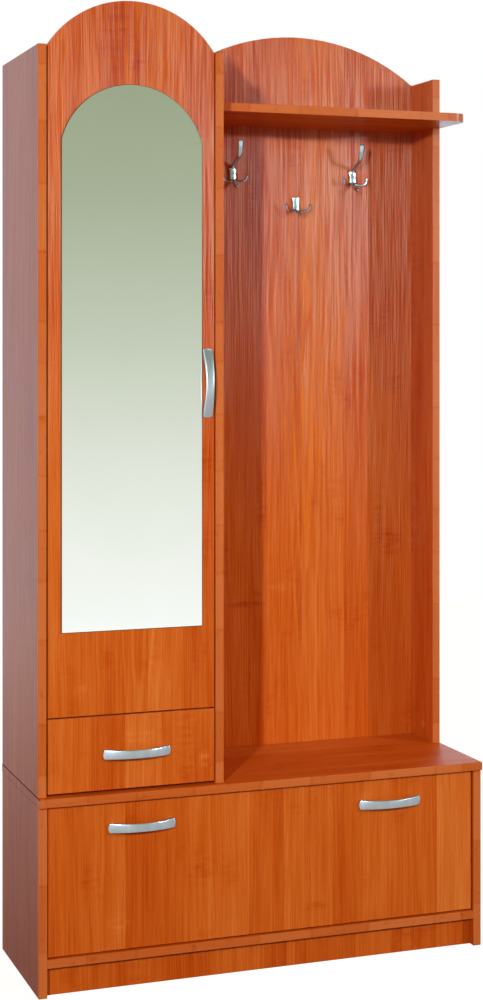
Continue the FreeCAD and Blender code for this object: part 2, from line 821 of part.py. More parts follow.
def handle_set(panel, label, front, centres, upright=False):
    """Handles on the front of a panel with the screws that hold them from behind."""
    turn = TURNS["-x"] if upright else TURNS["+z"]
    names = [label] if len(centres) == 1 else [f"{label}_left", f"{label}_right"]
    screws = Group(f"{label}_screws", screw(f"{label}_screw_pattern", *machine_head))
    half_spacing = s.handle_spacing / 2
    shift = (as_size(0), half_spacing) if upright else (half_spacing, as_size(0))
    holes = []
    for name, (x, z) in zip(names, centres):
        bow_handle(name, (x, front, z), turn)
        for sense in (-1, 1):
            hole = (x + shift[0] * sense, z + shift[1] * sense)
            holes.append((hole, s.machine_screw + s.fit_play * 2))
            screws.add((hole[0], front + s.board, hole[1]), TURNS["-y"])
    panel.cut("+y", front, s.board, circles=holes)
    screws.close()


door_handle_spot = (door_right - s.door_handle_inset, door_bottom + s.door_handle_lift)
handle_set(door, "door_handle", cupboard_front, [door_handle_spot], True)
drawer_handle_spot = (
    (door_left + door_right) / 2 + s.drawer_handle_shift,
    (drawer_front_bottom + drawer_front_top) / 2 - s.drawer_handle_drop,
)
handle_set(drawer_front, "drawer_handle", cupboard_front, [drawer_handle_spot])
# The screw heads of the drawer handle sit in clearance holes through the box's inner front.
head_room = s.machine_head + s.fit_play * 2
drawer_inner_front.cut("+y", box_front, s.drawer_wall, circles=[
    ((drawer_handle_spot[0] + s.handle_spacing / 2 * sense, drawer_handle_spot[1]), head_room)
    for sense in (-1, 1)
])
flap_handle_height = flap_top - s.flap_handle_drop
handle_set(flap, "flap_handle", flap_front, [
    (flap_left + s.flap_handle_inset, flap_handle_height),
    (flap_right - s.flap_handle_inset, flap_handle_height),
])

# Concealed hinges, drawn with X out from the wall that carries the plate, Y into the cabinet from
# the back of the door, and Z along the turning axis.
cup_centre = s.front_gap + s.cup_edge + s.cup / 2


def make_hinge_cup():
    piece = Piece("hinge_cup_pattern")
    depth = s.cup_bore_depth - s.fit_play
    outside = s.cup - s.fit_play * 2
    centre = (cup_centre, as_size(0))
    half_length = s.cup_flange_length / 2
    half_width = s.cup_flange_width / 2
    piece.pad("y", (-depth, 0), circles=[(centre, outside)])
    flange = rectangle((cup_centre - half_width, cup_centre + half_width), (-half_length, half_length))
    piece.pad("y", (as_size(0), s.cup_flange), [flange])
    hollow = s.cup - s.cup_wall * 2 - s.fit_play * 2
    reach = depth + s.cup_flange - s.cup_wall
    piece.cut("-y", s.cup_flange, reach, [rectangle(
        (cup_centre - half_width + s.cup_wall, cup_centre + half_width - s.cup_wall),
        (-hollow / 2 + s.cup_wall, hollow / 2 - s.cup_wall),
    )])
    return piece


def make_hinge_arm():
    """The arm lies on the plate and cranks across to dip into the far side of the cup."""
    piece = Piece("hinge_arm_pattern")
    start = s.cup_flange + s.hinge_play
    seat = s.plate_block_height
    crank = start + s.nose_length
    nose_far = cup_centre + s.cup_flange_width / 2 - s.cup_wall - s.hinge_play
    nose_near = nose_far - s.arm_gauge
    piece.pad("z", (-s.arm_width / 2, s.arm_width / 2), [[
        (nose_near, start),
        (nose_near, -s.nose_dip),
        (nose_far, -s.nose_dip),
        (nose_far, start + s.arm_gauge),
        (seat + s.arm_gauge, crank + s.arm_gauge),
        (seat + s.arm_gauge, start + s.arm_length),
        (seat, start + s.arm_length),
        (seat, crank),
    ]])
    return piece


def make_hinge_plate():
    """A winged plate with a raised block that carries the arm."""
    piece = Piece("hinge_plate_pattern")
    end = s.plate_setback + s.plate_length
    middle = s.plate_setback + s.plate_length / 2
    half_wing = s.plate_wing / 2
    half_wing_width = s.plate_wing_width / 2
    half_block = s.plate_block_width / 2
    piece.pad("x", (as_size(0), s.plate_gauge), [rectangle(
        (middle - half_wing_width, middle + half_wing_width), (-half_wing, half_wing)
    )])
    block = rectangle((s.plate_setback, end), (-half_block, half_block))
    piece.pad("x", (as_size(0), s.plate_block_height), [block])
    half_pitch = s.plate_hole_pitch / 2
    piece.cut("+x", 0, s.plate_gauge, circles=[
        ((middle, half_pitch * sense), s.euro_screw + s.fit_play * 2) for sense in (-1, 1)
    ])
    return piece


hinge_cup = make_hinge_cup()
hinge_arm = make_hinge_arm()
hinge_plate = make_hinge_plate()
plate_screws = Group("hinge_plate_screws", screw(
    "euro_screw_pattern", s.euro_screw, s.euro_screw_length, s.euro_head, s.euro_head_height
))
plate_middle = s.plate_setback + s.plate_length / 2
screw_reach = s.euro_screw_length - s.plate_gauge + s.fit_play
screw_bore = s.euro_screw + s.fit_play * 2


def hinge_row(name, panel, panel_back, wall, wall_face, wall_axis, row_axis, rows):
    """Hinges between a wall and the panel that turns beside it, one at each row."""
    turn = TURNS["+z"] if wall_axis == "x" else TURNS["-x"]
    cups = Group(f"{name}_hinge_cups", hinge_cup)
    arms = Group(f"{name}_hinge_arms", hinge_arm)
    plates = Group(f"{name}_hinge_plates", hinge_plate)
    half_pitch = s.plate_hole_pitch / 2
    cup_holes = []
    screw_holes = []
    for row in rows:
        spot = {wall_axis: wall_face, "y": panel_back, row_axis: row}
        place = tuple(spot[axis] for axis in "xyz")
        for fittings in (cups, arms, plates):
            fittings.add(place, turn)
        cup = {**spot, wall_axis: wall_face + cup_centre}
        cup_holes.append(((cup["x"], cup["z"]), s.cup))
        for sense in (-1, 1):
            hole = {**spot, row_axis: row + half_pitch * sense, "y": panel_back + plate_middle}
            head = {**hole, wall_axis: wall_face + s.plate_gauge}
            screw_holes.append((tuple(hole[axis] for axis in PLANES[wall_axis][2]), screw_bore))
            plate_screws.add(tuple(head[axis] for axis in "xyz"), TURNS["-" + wall_axis])
    panel.cut("-y", panel_back, s.cup_bore_depth, circles=cup_holes)
    wall.cut("-" + wall_axis, wall_face, screw_reach, circles=screw_holes)
    for fittings in (cups, arms, plates):
        fittings.close()


def even_rows(low, high, count):
    return [low + (high - low) * (number / (count - 1)) for number in range(count)]


door_rows = even_rows(door_bottom + s.door_hinge_inset, side_top - s.door_hinge_inset, 4)
hinge_row("door", door, door_back, cupboard_left_side, inner_left, "x", "z", door_rows)
flap_rows = even_rows(flap_left + s.flap_hinge_inset, flap_right - s.flap_hinge_inset, 3)
hinge_row("flap", flap, flap_back, base_bottom, base_floor, "z", "x", flap_rows)
plate_screws.close()

# Telescopic runners: an outer channel on the cupboard's side, an inner one on the drawer's, and
# a middle one that runs between them at half the drawer's travel.
runner_middle_height = (box_bottom + box_top) / 2
runner_start = box_front + s.drawer_length - s.runner_length
rail_nest = s.runner_gauge + s.runner_play
wood_screws = Group("wood_screws", screw(
    "wood_screw_pattern", s.wood_screw, s.wood_screw_length, s.wood_screw_head, s.wood_screw_head_height
))


def channel(label, wall, sense, web, tip, half_height):
    """One channel along Y: its web and the tips of its flanges are ways out from the wall."""
    gauge = s.runner_gauge if tip.value > web.value else -s.runner_gauge
    corners = [
        (web, -half_height),
        (tip, -half_height),
        (tip, -half_height + s.runner_gauge),
        (web + gauge, -half_height + s.runner_gauge),
        (web + gauge, half_height - s.runner_gauge),
        (tip, half_height - s.runner_gauge),
        (tip, half_height),
        (web, half_height),
    ]
    piece = Piece(label, (wall, runner_start, runner_middle_height))
    piece.pad("y", (runner_start, runner_start + s.runner_length), [[
        (wall + way * sense, runner_middle_height + height) for way, height in corners
    ]])
    return piece


def runner_pair(label, web, tip, half_height, screwed=False):
    rails = []
    for side, wall, sense in (("left", inner_left, 1), ("right", middle_left, -1)):
        rail = channel(f"{label}_{side}", wall, sense, web, tip, half_height)
        if screwed:
            fix_rail(rail, wall, sense)
        rails.append(rail.body)
    gather(label, rails)


def fix_rail(rail, wall, sense):
    """Wood screws through the rail's web into the cupboard's side."""
    side = {1: cupboard_left_side, -1: cupboard_middle_side}[sense]
    into_wall, away = {1: ("-x", "+x"), -1: ("+x", "-x")}[sense]
    inset = s.runner_screw_inset
    rows = [runner_start + inset, runner_start + s.runner_length - inset]
    spots = [(row, runner_middle_height) for row in rows]
    holes = [(spot, s.wood_screw + s.fit_play * 2) for spot in spots]
    rail.cut(away, wall, s.runner_gauge, circles=holes)
    side.cut(into_wall, wall, s.wood_screw_length - s.runner_gauge + s.fit_play, circles=holes)
    for row in rows:
        wood_screws.add((wall + s.runner_gauge * sense, row, runner_middle_height), TURNS[into_wall])


outer_half = s.runner_height / 2
middle_half = outer_half - rail_nest
inner_half = middle_half - rail_nest
runner_pair("runner_outers", as_size(0), s.runner_width - s.runner_lap, outer_half, True)
runner_pair("runner_middles", s.runner_lap, s.runner_width - s.runner_lap / 2, middle_half)
runner_pair("runner_inners", s.runner_width, s.runner_lap + rail_nest, inner_half)

# Wall brackets on top of the cupboard
bracket_middle = (left + middle_right) / 2


def wall_bracket(label, x):
    half = s.bracket_width / 2
    foot = back - s.bracket_foot
    piece = Piece(label, (x - half, foot, side_top))
    piece.pad("x", (x - half, x + half), [[
        (foot, side_top),
        (back, side_top),
        (back, side_top + s.bracket_leg),
        (back - s.bracket_gauge, side_top + s.bracket_leg),
        (back - s.bracket_gauge, side_top + s.bracket_gauge),
        (foot, side_top + s.bracket_gauge),
    ]])
    piece.cut("-y", back, s.bracket_gauge, circles=[((x, side_top + s.bracket_hole_lift), s.bracket_hole)])
    screw_spot = (x, back - s.bracket_screw_inset)
    screw_hole = [(screw_spot, s.wood_screw + s.fit_play * 2)]
    piece.cut("+z", side_top, s.bracket_gauge, circles=screw_hole)
    cupboard_top.cut("-z", side_top, s.wood_screw_length - s.bracket_gauge + s.fit_play, circles=screw_hole)
    wood_screws.add((*screw_spot, side_top + s.bracket_gauge), TURNS["-z"])
    return piece.body


gather("wall_brackets", [
    wall_bracket(f"wall_bracket_{number}", bracket_middle + s.bracket_pitch / 2 * sense)
    for number, sense in enumerate((-1, 1))
])
wood_screws.close()

# Coat hooks: one casting each, a waisted body and its curved prongs
doc.recompute()


def prong_section(centre, along, half_width, half_depth):
    """A closed section square to the prong: round, or an ellipse that is wide across X."""
    if half_width == half_depth:
        return Part.Wire(Part.Circle(centre, along, half_width).toShape())
    side = FreeCAD.Vector(1, 0, 0)
    depth = along.cross(side)
    ring = Part.Ellipse(centre + side * half_width, centre + depth * half_depth, centre)
    return Part.Wire(ring.toShape())


def prong(shares, reach, sense=1):
    """A curved arm lofted through its stations, with a rounded tip."""
    centres = [FreeCAD.Vector(side * sense, -out, rise) * reach for side, out, rise, _, _ in shares]
    sections = []
    for number, (centre, share) in enumerate(zip(centres, shares)):
        before = centres[max(number - 1, 0)]
        after = centres[min(number + 1, len(centres) - 1)]
        along = (after - before).normalize()
        sections.append(prong_section(centre, along, share[3] * reach, share[4] * reach))
    return Part.makeLoft(sections, True), centres[-1]


def hook_body():
    """The waisted body, with its back on the panel and its front crowned from side to side."""
    half_width = s.hook_width.value / 2
    half_waist = s.hook_waist.value / 2
    half_height = s.hook_height.value / 2
    depth = s.hook_body.value
    corners = [
        FreeCAD.Vector(half_width * across, 0, half_height * up)
        for across, up in ((-1, -1), (1, -1), (1, 1), (-1, 1))
    ]
    waists = [FreeCAD.Vector(half_waist * sense, 0, 0) for sense in (-1, 1)]
    outline = Part.Wire([
        Part.makeLine(corners[0], corners[1]),
        Part.Arc(corners[1], waists[1], corners[2]).toShape(),
        Part.makeLine(corners[2], corners[3]),
        Part.Arc(corners[3], waists[0], corners[0]).toShape(),
    ])
    radius = s.hook_crown_radius.value
    foot = FreeCAD.Vector(0, radius - depth, -half_height)
    crown = Part.makeCylinder(radius, s.hook_height.value, foot)
    return Part.Face(outline).extrude(FreeCAD.Vector(0, -depth, 0)).common(crown)


hook_screws = Group("hook_screws", screw(
    "hook_screw_pattern", s.hook_screw, s.hook_screw_length, s.hook_screw_head, s.hook_screw_head_height
))


def coat_hook(label, x, z, prongs):
    """One hook with its two screws, whose heads sit in faced seats at the roots of the prongs."""
    reach = s.hook_height.value
    solid = hook_body()
    arms = []
    for shares, sense, tipped in prongs:
        arm, tip = prong(shares, reach, sense)
        arms.append(arm)
        if tipped:
            arms.append(Part.makeSphere(PRONG_TIP_SHARE * reach, tip))
    solid = solid.fuse(arms)
    outward = FreeCAD.Vector(0, -1, 0)
    room = s.fit_play.value
    bores = []
    for sense in (-1, 1):
        middle = FreeCAD.Vector(0, 0, s.hook_screw_pitch.value / 2 * sense)
        seat = middle + outward * (s.hook_body.value - s.hook_seat.value)
        head_room = s.hook_screw_head_height.value * 2
        bores.append(Part.makeCylinder(s.hook_screw.value / 2 + room, s.hook_body.value, middle, outward))
        bores.append(Part.makeCylinder(s.hook_screw_head.value / 2 + room, head_room, seat, outward))
    solid = solid.cut(bores).removeSplitter()
    hook = doc.addObject("Part::Feature", label)
    hook.Label = label
    hook.Shape = solid
    place = (x, rack_face, z)
    hook.Placement.Base = FreeCAD.Vector(*[size.value for size in place])
    keep(hook)
    seat_reach = s.hook_body - s.hook_seat
    holes = []
    for sense in (-1, 1):
        height = z + s.hook_screw_pitch / 2 * sense
        holes.append(((x, height), s.hook_screw + s.fit_play * 2))
        hook_screws.add((x, rack_face - seat_reach, height), TURNS["+y"])
    rack_back_panel.cut("+y", rack_face, s.hook_screw_length - seat_reach + s.fit_play, circles=holes)


left_hook = middle_right + s.left_hook_inset
right_hook = inner_right - s.right_hook_inset
small_hook = (left_hook + right_hook) / 2 + s.small_hook_shift
tall_hook_level = hat_shelf_top - s.board - s.tall_hook_drop
small_hook_level = hat_shelf_top - s.board - s.small_hook_drop
side_prongs = [(SIDE_PRONG_SHARES, 1, True), (SIDE_PRONG_SHARES, -1, True)]
tall_prongs = [(TALL_PRONG_SHARES, 1, False), (LOW_PRONG_SHARES, 1, True), *side_prongs]
coat_hook("tall_hook_left", left_hook, tall_hook_level, tall_prongs)
coat_hook("tall_hook_right", right_hook, tall_hook_level, tall_prongs)
coat_hook("small_hook", small_hook, small_hook_level, [(SHORT_PRONG_SHARES, 1, True), *side_prongs])
hook_screws.close()

doc.recompute()

# Nothing is written unless every object is sound and every pocket took material away.
for item in doc.Objects:
    if {"Invalid", "Error"} & set(item.State):
        raise ValueError(f"{item.Label} did not build: {item.State}")
    if item.TypeId == "PartDesign::Pocket" and item.Shape.Volume >= item.BaseFeature.Shape.Volume:
        raise ValueError(f"{item.Label} cuts nothing")
for node in nodes:
    if node.Shape.isNull() or not node.Shape.isValid():
        raise ValueError(f"{node.Label} has no sound shape")

os.makedirs("parts", exist_ok=True)
for node in nodes:
    node.Shape.exportStep(os.path.join("parts", f"{node.Label}.step"))
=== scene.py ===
import json
import math
import random

import bmesh
import bpy
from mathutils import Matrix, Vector


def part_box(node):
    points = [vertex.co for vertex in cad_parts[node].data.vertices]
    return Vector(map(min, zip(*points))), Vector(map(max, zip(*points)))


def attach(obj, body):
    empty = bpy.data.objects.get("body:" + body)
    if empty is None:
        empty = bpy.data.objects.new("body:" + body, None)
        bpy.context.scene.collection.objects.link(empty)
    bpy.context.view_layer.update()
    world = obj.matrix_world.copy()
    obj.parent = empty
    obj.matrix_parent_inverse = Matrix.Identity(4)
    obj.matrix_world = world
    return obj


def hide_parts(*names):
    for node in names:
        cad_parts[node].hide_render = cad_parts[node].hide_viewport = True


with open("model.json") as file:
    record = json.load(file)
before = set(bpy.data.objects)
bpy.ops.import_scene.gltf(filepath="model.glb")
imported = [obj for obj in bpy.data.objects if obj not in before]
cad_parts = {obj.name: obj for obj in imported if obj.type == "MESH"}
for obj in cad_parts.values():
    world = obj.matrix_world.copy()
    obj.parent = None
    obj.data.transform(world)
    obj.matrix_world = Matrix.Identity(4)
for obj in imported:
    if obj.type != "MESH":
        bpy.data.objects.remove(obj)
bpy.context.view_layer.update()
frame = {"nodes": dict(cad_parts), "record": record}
nodes = frame["nodes"]
slots = {part["node"]: part["material_slot"] for part in frame["record"]["subparts"]}
body_of = {
    node: body
    for body, members in frame["record"]["behaviour"]["bodies"].items()
    for node in members
}
scene = bpy.context.scene

# Node helpers

# A noise seldom leaves this range, so colours and gloss are spread over it.
NOISE_LOW = 0.3
NOISE_HIGH = 0.7


def opaque(colour):
    return (*colour, 1.0)


class Nodes:
    """A node tree, with a method for each kind of node that the scene uses often."""

    def __init__(self, tree):
        self.tree = tree

    def node(self, kind, inputs=(), **settings):
        node = self.tree.nodes.new(kind)
        for name, value in settings.items():
            setattr(node, name, value)
        for key, value in dict(inputs).items():
            self.feed(node.inputs[key], value)
        return node

    def feed(self, socket, value):
        if isinstance(value, bpy.types.NodeSocket):
            self.tree.links.new(value, socket)
        else:
            socket.default_value = value

    def math(self, operation, a, b=0.0):
        return self.node("ShaderNodeMath", {0: a, 1: b}, operation=operation).outputs[0]

    def weighted(self, value, weight, more):
        """The value times its weight, and more added to it."""
        inputs = {0: value, 1: weight, 2: more}
        return self.node("ShaderNodeMath", inputs, operation="MULTIPLY_ADD").outputs[0]

    def total(self, *terms):
        """The sum of pairs of a socket and its weight."""
        result = 0.0
        for value, weight in terms:
            result = self.weighted(value, weight, result)
        return result

    def spread(self, value, low, high, to_low=0.0, to_high=1.0, smooth=False):
        """Maps the range from low to high to another one, and holds the ends."""
        return self.node(
            "ShaderNodeMapRange",
            {0: value, 1: low, 2: high, 3: to_low, 4: to_high},
            interpolation_type="SMOOTHSTEP" if smooth else "LINEAR",
        ).outputs[0]

    def ramp(self, value, stops, interpolation="LINEAR"):
        node = self.node("ShaderNodeValToRGB", {0: value})
        ramp = node.color_ramp
        ramp.interpolation = interpolation
        while len(ramp.elements) < len(stops):
            ramp.elements.new(1.0)
        for element, (place, colour) in zip(ramp.elements, stops):
            element.position = place
            element.color = opaque(colour)
        return node.outputs["Color"]

    def mix(self, factor, first, second):
        """Blends two colours."""
        return self.node("ShaderNodeMix", {0: factor, 6: first, 7: second}, data_type="RGBA").outputs[2]

    def axes(self, system):
        """The three parts of a place in one of Blender's coordinate systems."""
        place = self.node("ShaderNodeTexCoord").outputs[system]
        return self.node("ShaderNodeSeparateXYZ", {0: place}).outputs


class Shader(Nodes):
    """A Principled material whose inputs are worked out from the object's own coordinates."""

    def __init__(self, name, **settings):
        self.material = bpy.data.materials.new(name)
        self.material.use_nodes = True
        super().__init__(self.material.node_tree)
        self.shader = self.tree.nodes["Principled BSDF"]
        self.set(**settings)

    def set(self, **sockets):
        for name, value in sockets.items():
            self.feed(self.shader.inputs[name.replace("_", " ")], value)
        return self.material

    def point(self, x, y, z=0.0):
        return self.node("ShaderNodeCombineXYZ", {0: x, 1: y, 2: z}).outputs[0]

    def noise(self, vector, scale=1.0, detail=3.0, roughness=0.55, distortion=0.0):
        inputs = {
            "Vector": vector,
            "Scale": scale,
            "Detail": detail,
            "Roughness": roughness,
            "Distortion": distortion,
        }
        return self.node("ShaderNodeTexNoise", inputs).outputs["Fac"]

    def streaks(self, across, along, scales, layer=0.0):
        """Noise drawn out along the grain. Scales are cells per metre across and along, and detail."""
        across_scale, along_scale, detail = scales
        place = self.point(
            self.math("MULTIPLY", across, across_scale), self.math("MULTIPLY", along, along_scale), layer
        )
        return self.noise(place, detail=detail)

    def grain_axes(self, upright):
        """The places across and along the grain, in metres.

        Along the grain is up in an upright board and to the right in a level one. Across it, two axes are
        added, so that the print also runs on over the narrow sides.
        """
        x, y, z = self.axes("Object")
        if upright:
            return self.math("ADD", x, y), z
        return self.math("ADD", y, z), x

    def two_tone(self, value, dark, light):
        return self.ramp(value, [(NOISE_LOW, dark), (NOISE_HIGH, light)])

    def between(self, value, low, high):
        return self.spread(value, NOISE_LOW, NOISE_HIGH, low, high)

    def bump(self, height, strength, distance):
        inputs = {"Strength": strength, "Distance": distance, "Height": height}
        self.set(Normal=self.node("ShaderNodeBump", inputs).outputs["Normal"])


# Laminate

WOOD_STOPS = [
    (0.00, (0.370, 0.034, 0.0008)),
    (0.25, (0.510, 0.068, 0.0025)),
    (0.50, (0.610, 0.113, 0.0085)),
    (0.75, (0.690, 0.168, 0.0240)),
    (1.00, (0.770, 0.235, 0.0540)),
]
# The edge bands are printed a little darker and less saturated than the boards.
EDGE_TINT = (0.87, 0.88, 1.30)
EDGE_STOPS = [
    (place, tuple(share * part for share, part in zip(EDGE_TINT, colour)))
    for place, colour in WOOD_STOPS
]
# Specular levels: of smooth boards, of pressed ones and of the edge bands.
SHINE = 0.08
PRESSED_SHINE = 0.176
PRESSED_ANISOTROPY = 0.85
EDGE_SHINE = 0.16
# The grain's relief in metres.
PRESS_DEPTH = 0.0012
PLAIN_PRESS_DEPTH = 0.0001

# The layers of the laminate's print: cells per metre across and along the grain, and detail.
WANDER = (5.0, 1.3, 3.0)
FINE = (400.0, 6.0, 2.0)
RIDGES = (250.0, 3.0, 2.0)
GROWTH = (75.0, 3.2, 3.0)
BROAD = (12.0, 2.4, 2.0)
PORES = (820.0, 34.0, 2.0)
RIPPLES = (22.0, 95.0, 3.0)
RIPPLE_PATCHES = (13.0, 7.0, 2.0)

# How far the layers lighten and darken the print.
PRINT_FINE = 0.46
PRINT_RIDGES = 0.24
PRINT_GROWTH = 0.42
PRINT_BROAD = 0.40
PLAIN_CONTRAST = 2.2
# Each strip takes its print from another place: another layer, moved across the grain.
STRIP_LAYERS = 9.0
STRIP_OFFSET = 2.0
# How far the grain wanders sideways, in metres.
WANDER_WIDTH = 0.030
# Partly grain and partly painted shade: the open grain is darkened only high up. The darkening starts at the
# first height and is full at the second, which dims the upper part of the panel under the sheen.
GROOVE_SHADE_HEIGHTS = (1.15, 1.60)
# How many lines the arched figure has to each half width, and how round its tips are.
FIGURE_LINES = 3.2
FIGURE_ROUNDING = 0.05

# The layers of the edge band's print, as for the laminate.
BAND_FINE = (300.0, 6.0, 3.0)
BAND_BROAD = (35.0, 2.2, 3.0)
BAND_KNOTS = (60.0, 38.0, 3.0)
BAND_WAVES = (40.0, 60.0, 2.0)
# The band is printed in lengths, with a slightly wavy dark joint between them.
BAND_LENGTHS_PER_METRE = 8.5
BAND_WAVINESS = 0.12
BAND_JOINT = 0.035


def random_strips(low, high, seed):
    """Glued strips of differing tone from low to high, 60 to 110 mm wide."""
    draw = random.Random(seed)
    strips = []
    place = low
    while place < high:
        strips.append((place, draw.uniform(0.36, 0.62)))
        place += draw.uniform(0.06, 0.11)
    return strips


def curled(wood, across, along, waves, curls):
    """Patches of cross ripples."""
    curl = 0.0
    for centre, level, half_width, half_length, strength in curls:
        side = wood.math("DIVIDE", wood.math("SUBTRACT", across, centre), half_width)
        rise = wood.math("DIVIDE", wood.math("SUBTRACT", along, level), half_length)
        away = wood.total((wood.math("MULTIPLY", side, side), 1.0), (wood.math("MULTIPLY", rise, rise), 1.0))
        patch = wood.spread(away, 1.2, 0.2)
        curl = wood.total((wood.math("MULTIPLY", patch, waves), strength), (curl, 1.0))
    return curl


def arched(wood, across, along, wander, arches):
    """Pointed arches of light growth lines, one above the other."""
    figure = 0.0
    for centre, half_width, pitch in arches:
        way = wood.math("DIVIDE", wood.math("SUBTRACT", across, centre), half_width)
        squared = wood.math("MULTIPLY", way, way)
        bow = wood.math("SQRT", wood.math("ADD", squared, FIGURE_ROUNDING))
        phase = wood.total((bow, FIGURE_LINES), (along, -pitch), (wander, 3.0))
        wave = wood.math("SINE", wood.math("MULTIPLY", phase, 2 * math.pi))
        line = wood.spread(wave, 0.2, 1.0, smooth=True)
        reach = wood.spread(squared, 1.0, 0.15)
        figure = wood.total((wood.math("MULTIPLY", line, reach), 1.0), (figure, 1.0))
    return figure


def laminate(
    name,
    span,
    upright=True,
    strips=None,
    seed=1,
    arches=(),
    curls=(),
    groove_shade=0.0,
    plain=False,
    polish=1.0,
):
    """Printed alder laminate: glued strips, growth lines, arched figure, ripples and pressed pores.

    Span is the range of places across the grain. Strips are pairs of a place across the grain and the
    tone that starts there. Arches are the place across, half width and pitch of an arched figure. Curls
    are the place across and along, half width, half length and strength of a patch of cross ripples.
    The argument after curls says how far the open grain is darkened high up on the board; this is partly
    grain and partly painted shade under the sheen. A plain board is pressed less deeply and printed with
    more contrast. Polish scales the roughness.
    """
    pressed = upright and not plain
    wood = Shader(
        name,
        Specular_IOR_Level=PRESSED_SHINE if pressed else SHINE,
        Anisotropic=PRESSED_ANISOTROPY if pressed else 0.0,
    )
    across, along = wood.grain_axes(upright)
    low, high = span
    strips = strips or random_strips(low, high, seed)
    stops = []
    draw = random.Random(seed)
    for place, tone in strips:
        stops.append((max((place - low) / (high - low), 0.0), (tone, draw.random(), draw.random())))
    strip = wood.ramp(wood.spread(across, low, high), stops, "CONSTANT")
    tone, own, _ = wood.node("ShaderNodeSeparateColor", {0: strip}).outputs

    layer = wood.math("MULTIPLY", own, STRIP_LAYERS)
    wander = wood.streaks(across, along, WANDER, layer)
    bent = wood.total((across, 1.0), (wander, WANDER_WIDTH), (own, STRIP_OFFSET))
    fine, ridges, growth, broad, pores = (
        wood.streaks(bent, along, scales, layer) for scales in (FINE, RIDGES, GROWTH, BROAD, PORES)
    )
    pores = wood.spread(pores, 0.60, 0.72)
    waves = wood.spread(wood.streaks(across, along, RIPPLES, layer), 0.40, 0.64)
    patches = wood.spread(wood.streaks(across, along, RIPPLE_PATCHES, layer), 0.56, 0.70)
    flame = wood.math("MULTIPLY", waves, patches)
    curl = curled(wood, across, along, waves, curls)
    figure = arched(wood, across, along, wander, arches)
    open_grain = wood.spread(wood.total((fine, 0.6), (ridges, 0.4)), 0.56, 0.44)
    # Painted shade: from the given heights up, the open grain is darkened, which dims the panel's upper part
    # under the sheen.
    painted_groove_shade = wood.math("MULTIPLY", wood.spread(along, *GROOVE_SHADE_HEIGHTS), open_grain)

    contrast = PLAIN_CONTRAST if plain else 1.0
    # The noises have a mean of a half, so half their weights are taken off to keep the strip's tone.
    middle = -0.5 * (PRINT_BROAD + contrast * (PRINT_FINE + PRINT_RIDGES + PRINT_GROWTH))
    value = wood.total(
        (tone, 1.0),
        (painted_groove_shade, -groove_shade),
        (fine, PRINT_FINE * contrast),
        (ridges, PRINT_RIDGES * contrast),
        (growth, PRINT_GROWTH * contrast),
        (broad, PRINT_BROAD),
        (pores, -0.10),
        (flame, -0.17),
        (curl, 1.0),
        (figure, 0.20),
        (1.0, middle),
    )
    height = wood.total((ridges, 0.8), (fine, 1.3), (pores, -0.1), (figure, 0.3))
    wood.bump(height, 1.0, PLAIN_PRESS_DEPTH if plain else PRESS_DEPTH)
    matt = wood.total((ridges, 0.35), (fine, 0.65), (pores, 0.25), (figure, -0.30))
    if pressed:
        wood.set(Specular_Tint=wood.spread(matt, 0.46, 0.54, 0.18, 0.94))
    return wood.set(
        Base_Color=wood.ramp(value, WOOD_STOPS),
        Roughness=wood.spread(matt, 0.45, 0.55, 0.30 * polish, (0.36 if plain else 0.42) * polish),
        Tangent=wood.node("ShaderNodeTangent", direction_type="RADIAL", axis="Z").outputs[0],
    )


def banding(name, upright):
    """The edge band: the same wood print in short lengths, with knots and faint joints."""
    band = Shader(name, Specular_IOR_Level=EDGE_SHINE)
    across, along = band.grain_axes(upright)
    fine = band.streaks(across, along, BAND_FINE)
    broad = band.streaks(across, along, BAND_BROAD)
    knots = band.spread(band.streaks(across, along, BAND_KNOTS), 0.60, 0.72)
    waves = band.math("MULTIPLY", band.streaks(across, along, BAND_WAVES), BAND_WAVINESS)
    lengths = {"W": band.weighted(along, BAND_LENGTHS_PER_METRE, waves), "Scale": 1.0}
    length = band.node("ShaderNodeTexVoronoi", lengths, voronoi_dimensions="1D").outputs["Color"]
    tone = band.node("ShaderNodeSeparateColor", {0: length}).outputs[0]
    joint = band.node(
        "ShaderNodeTexVoronoi", lengths, voronoi_dimensions="1D", feature="DISTANCE_TO_EDGE"
    ).outputs["Distance"]
    line = band.spread(joint, BAND_JOINT, 0.0)
    value = band.total(
        (fine, 0.26),
        (broad, 0.30),
        (tone, 0.22),
        (knots, -0.20),
        (line, -0.16),
        (1.0, 0.25),
    )
    band.bump(band.total((fine, 1.0), (knots, -0.5)), 0.2, 0.0004)
    return band.set(Base_Color=band.ramp(value, EDGE_STOPS), Roughness=band.between(fine, 0.30, 0.42))


# Other finishes


def pale_board():
    """Foil on the drawer's boards, with a faint level grain."""
    foil = Shader("drawer_board", Specular_IOR_Level=0.35)
    across, along = foil.grain_axes(True)
    grain = foil.streaks(across, along, (3.0, 260.0, 3.0))
    foil.bump(grain, 0.15, 0.0003)
    return foil.set(
        Base_Color=foil.two_tone(grain, (0.62, 0.56, 0.46), (0.76, 0.71, 0.61)),
        Roughness=foil.between(grain, 0.40, 0.52),
    )


def pressed_board():
    """Brown hardboard with short fibres and cloudy tones."""
    board = Shader("hardboard", Specular_IOR_Level=0.3)
    place = board.point(*board.axes("Object"))
    fibre = board.noise(place, 420.0, 4.0, 0.7, 0.6)
    cloud = board.noise(place, 9.0)
    value = board.total((fibre, 0.6), (cloud, 0.4))
    board.bump(fibre, 0.3, 0.0003)
    return board.set(
        Base_Color=board.two_tone(value, (0.100, 0.042, 0.016), (0.200, 0.092, 0.040)),
        Roughness=board.between(fibre, 0.50, 0.68),
    )


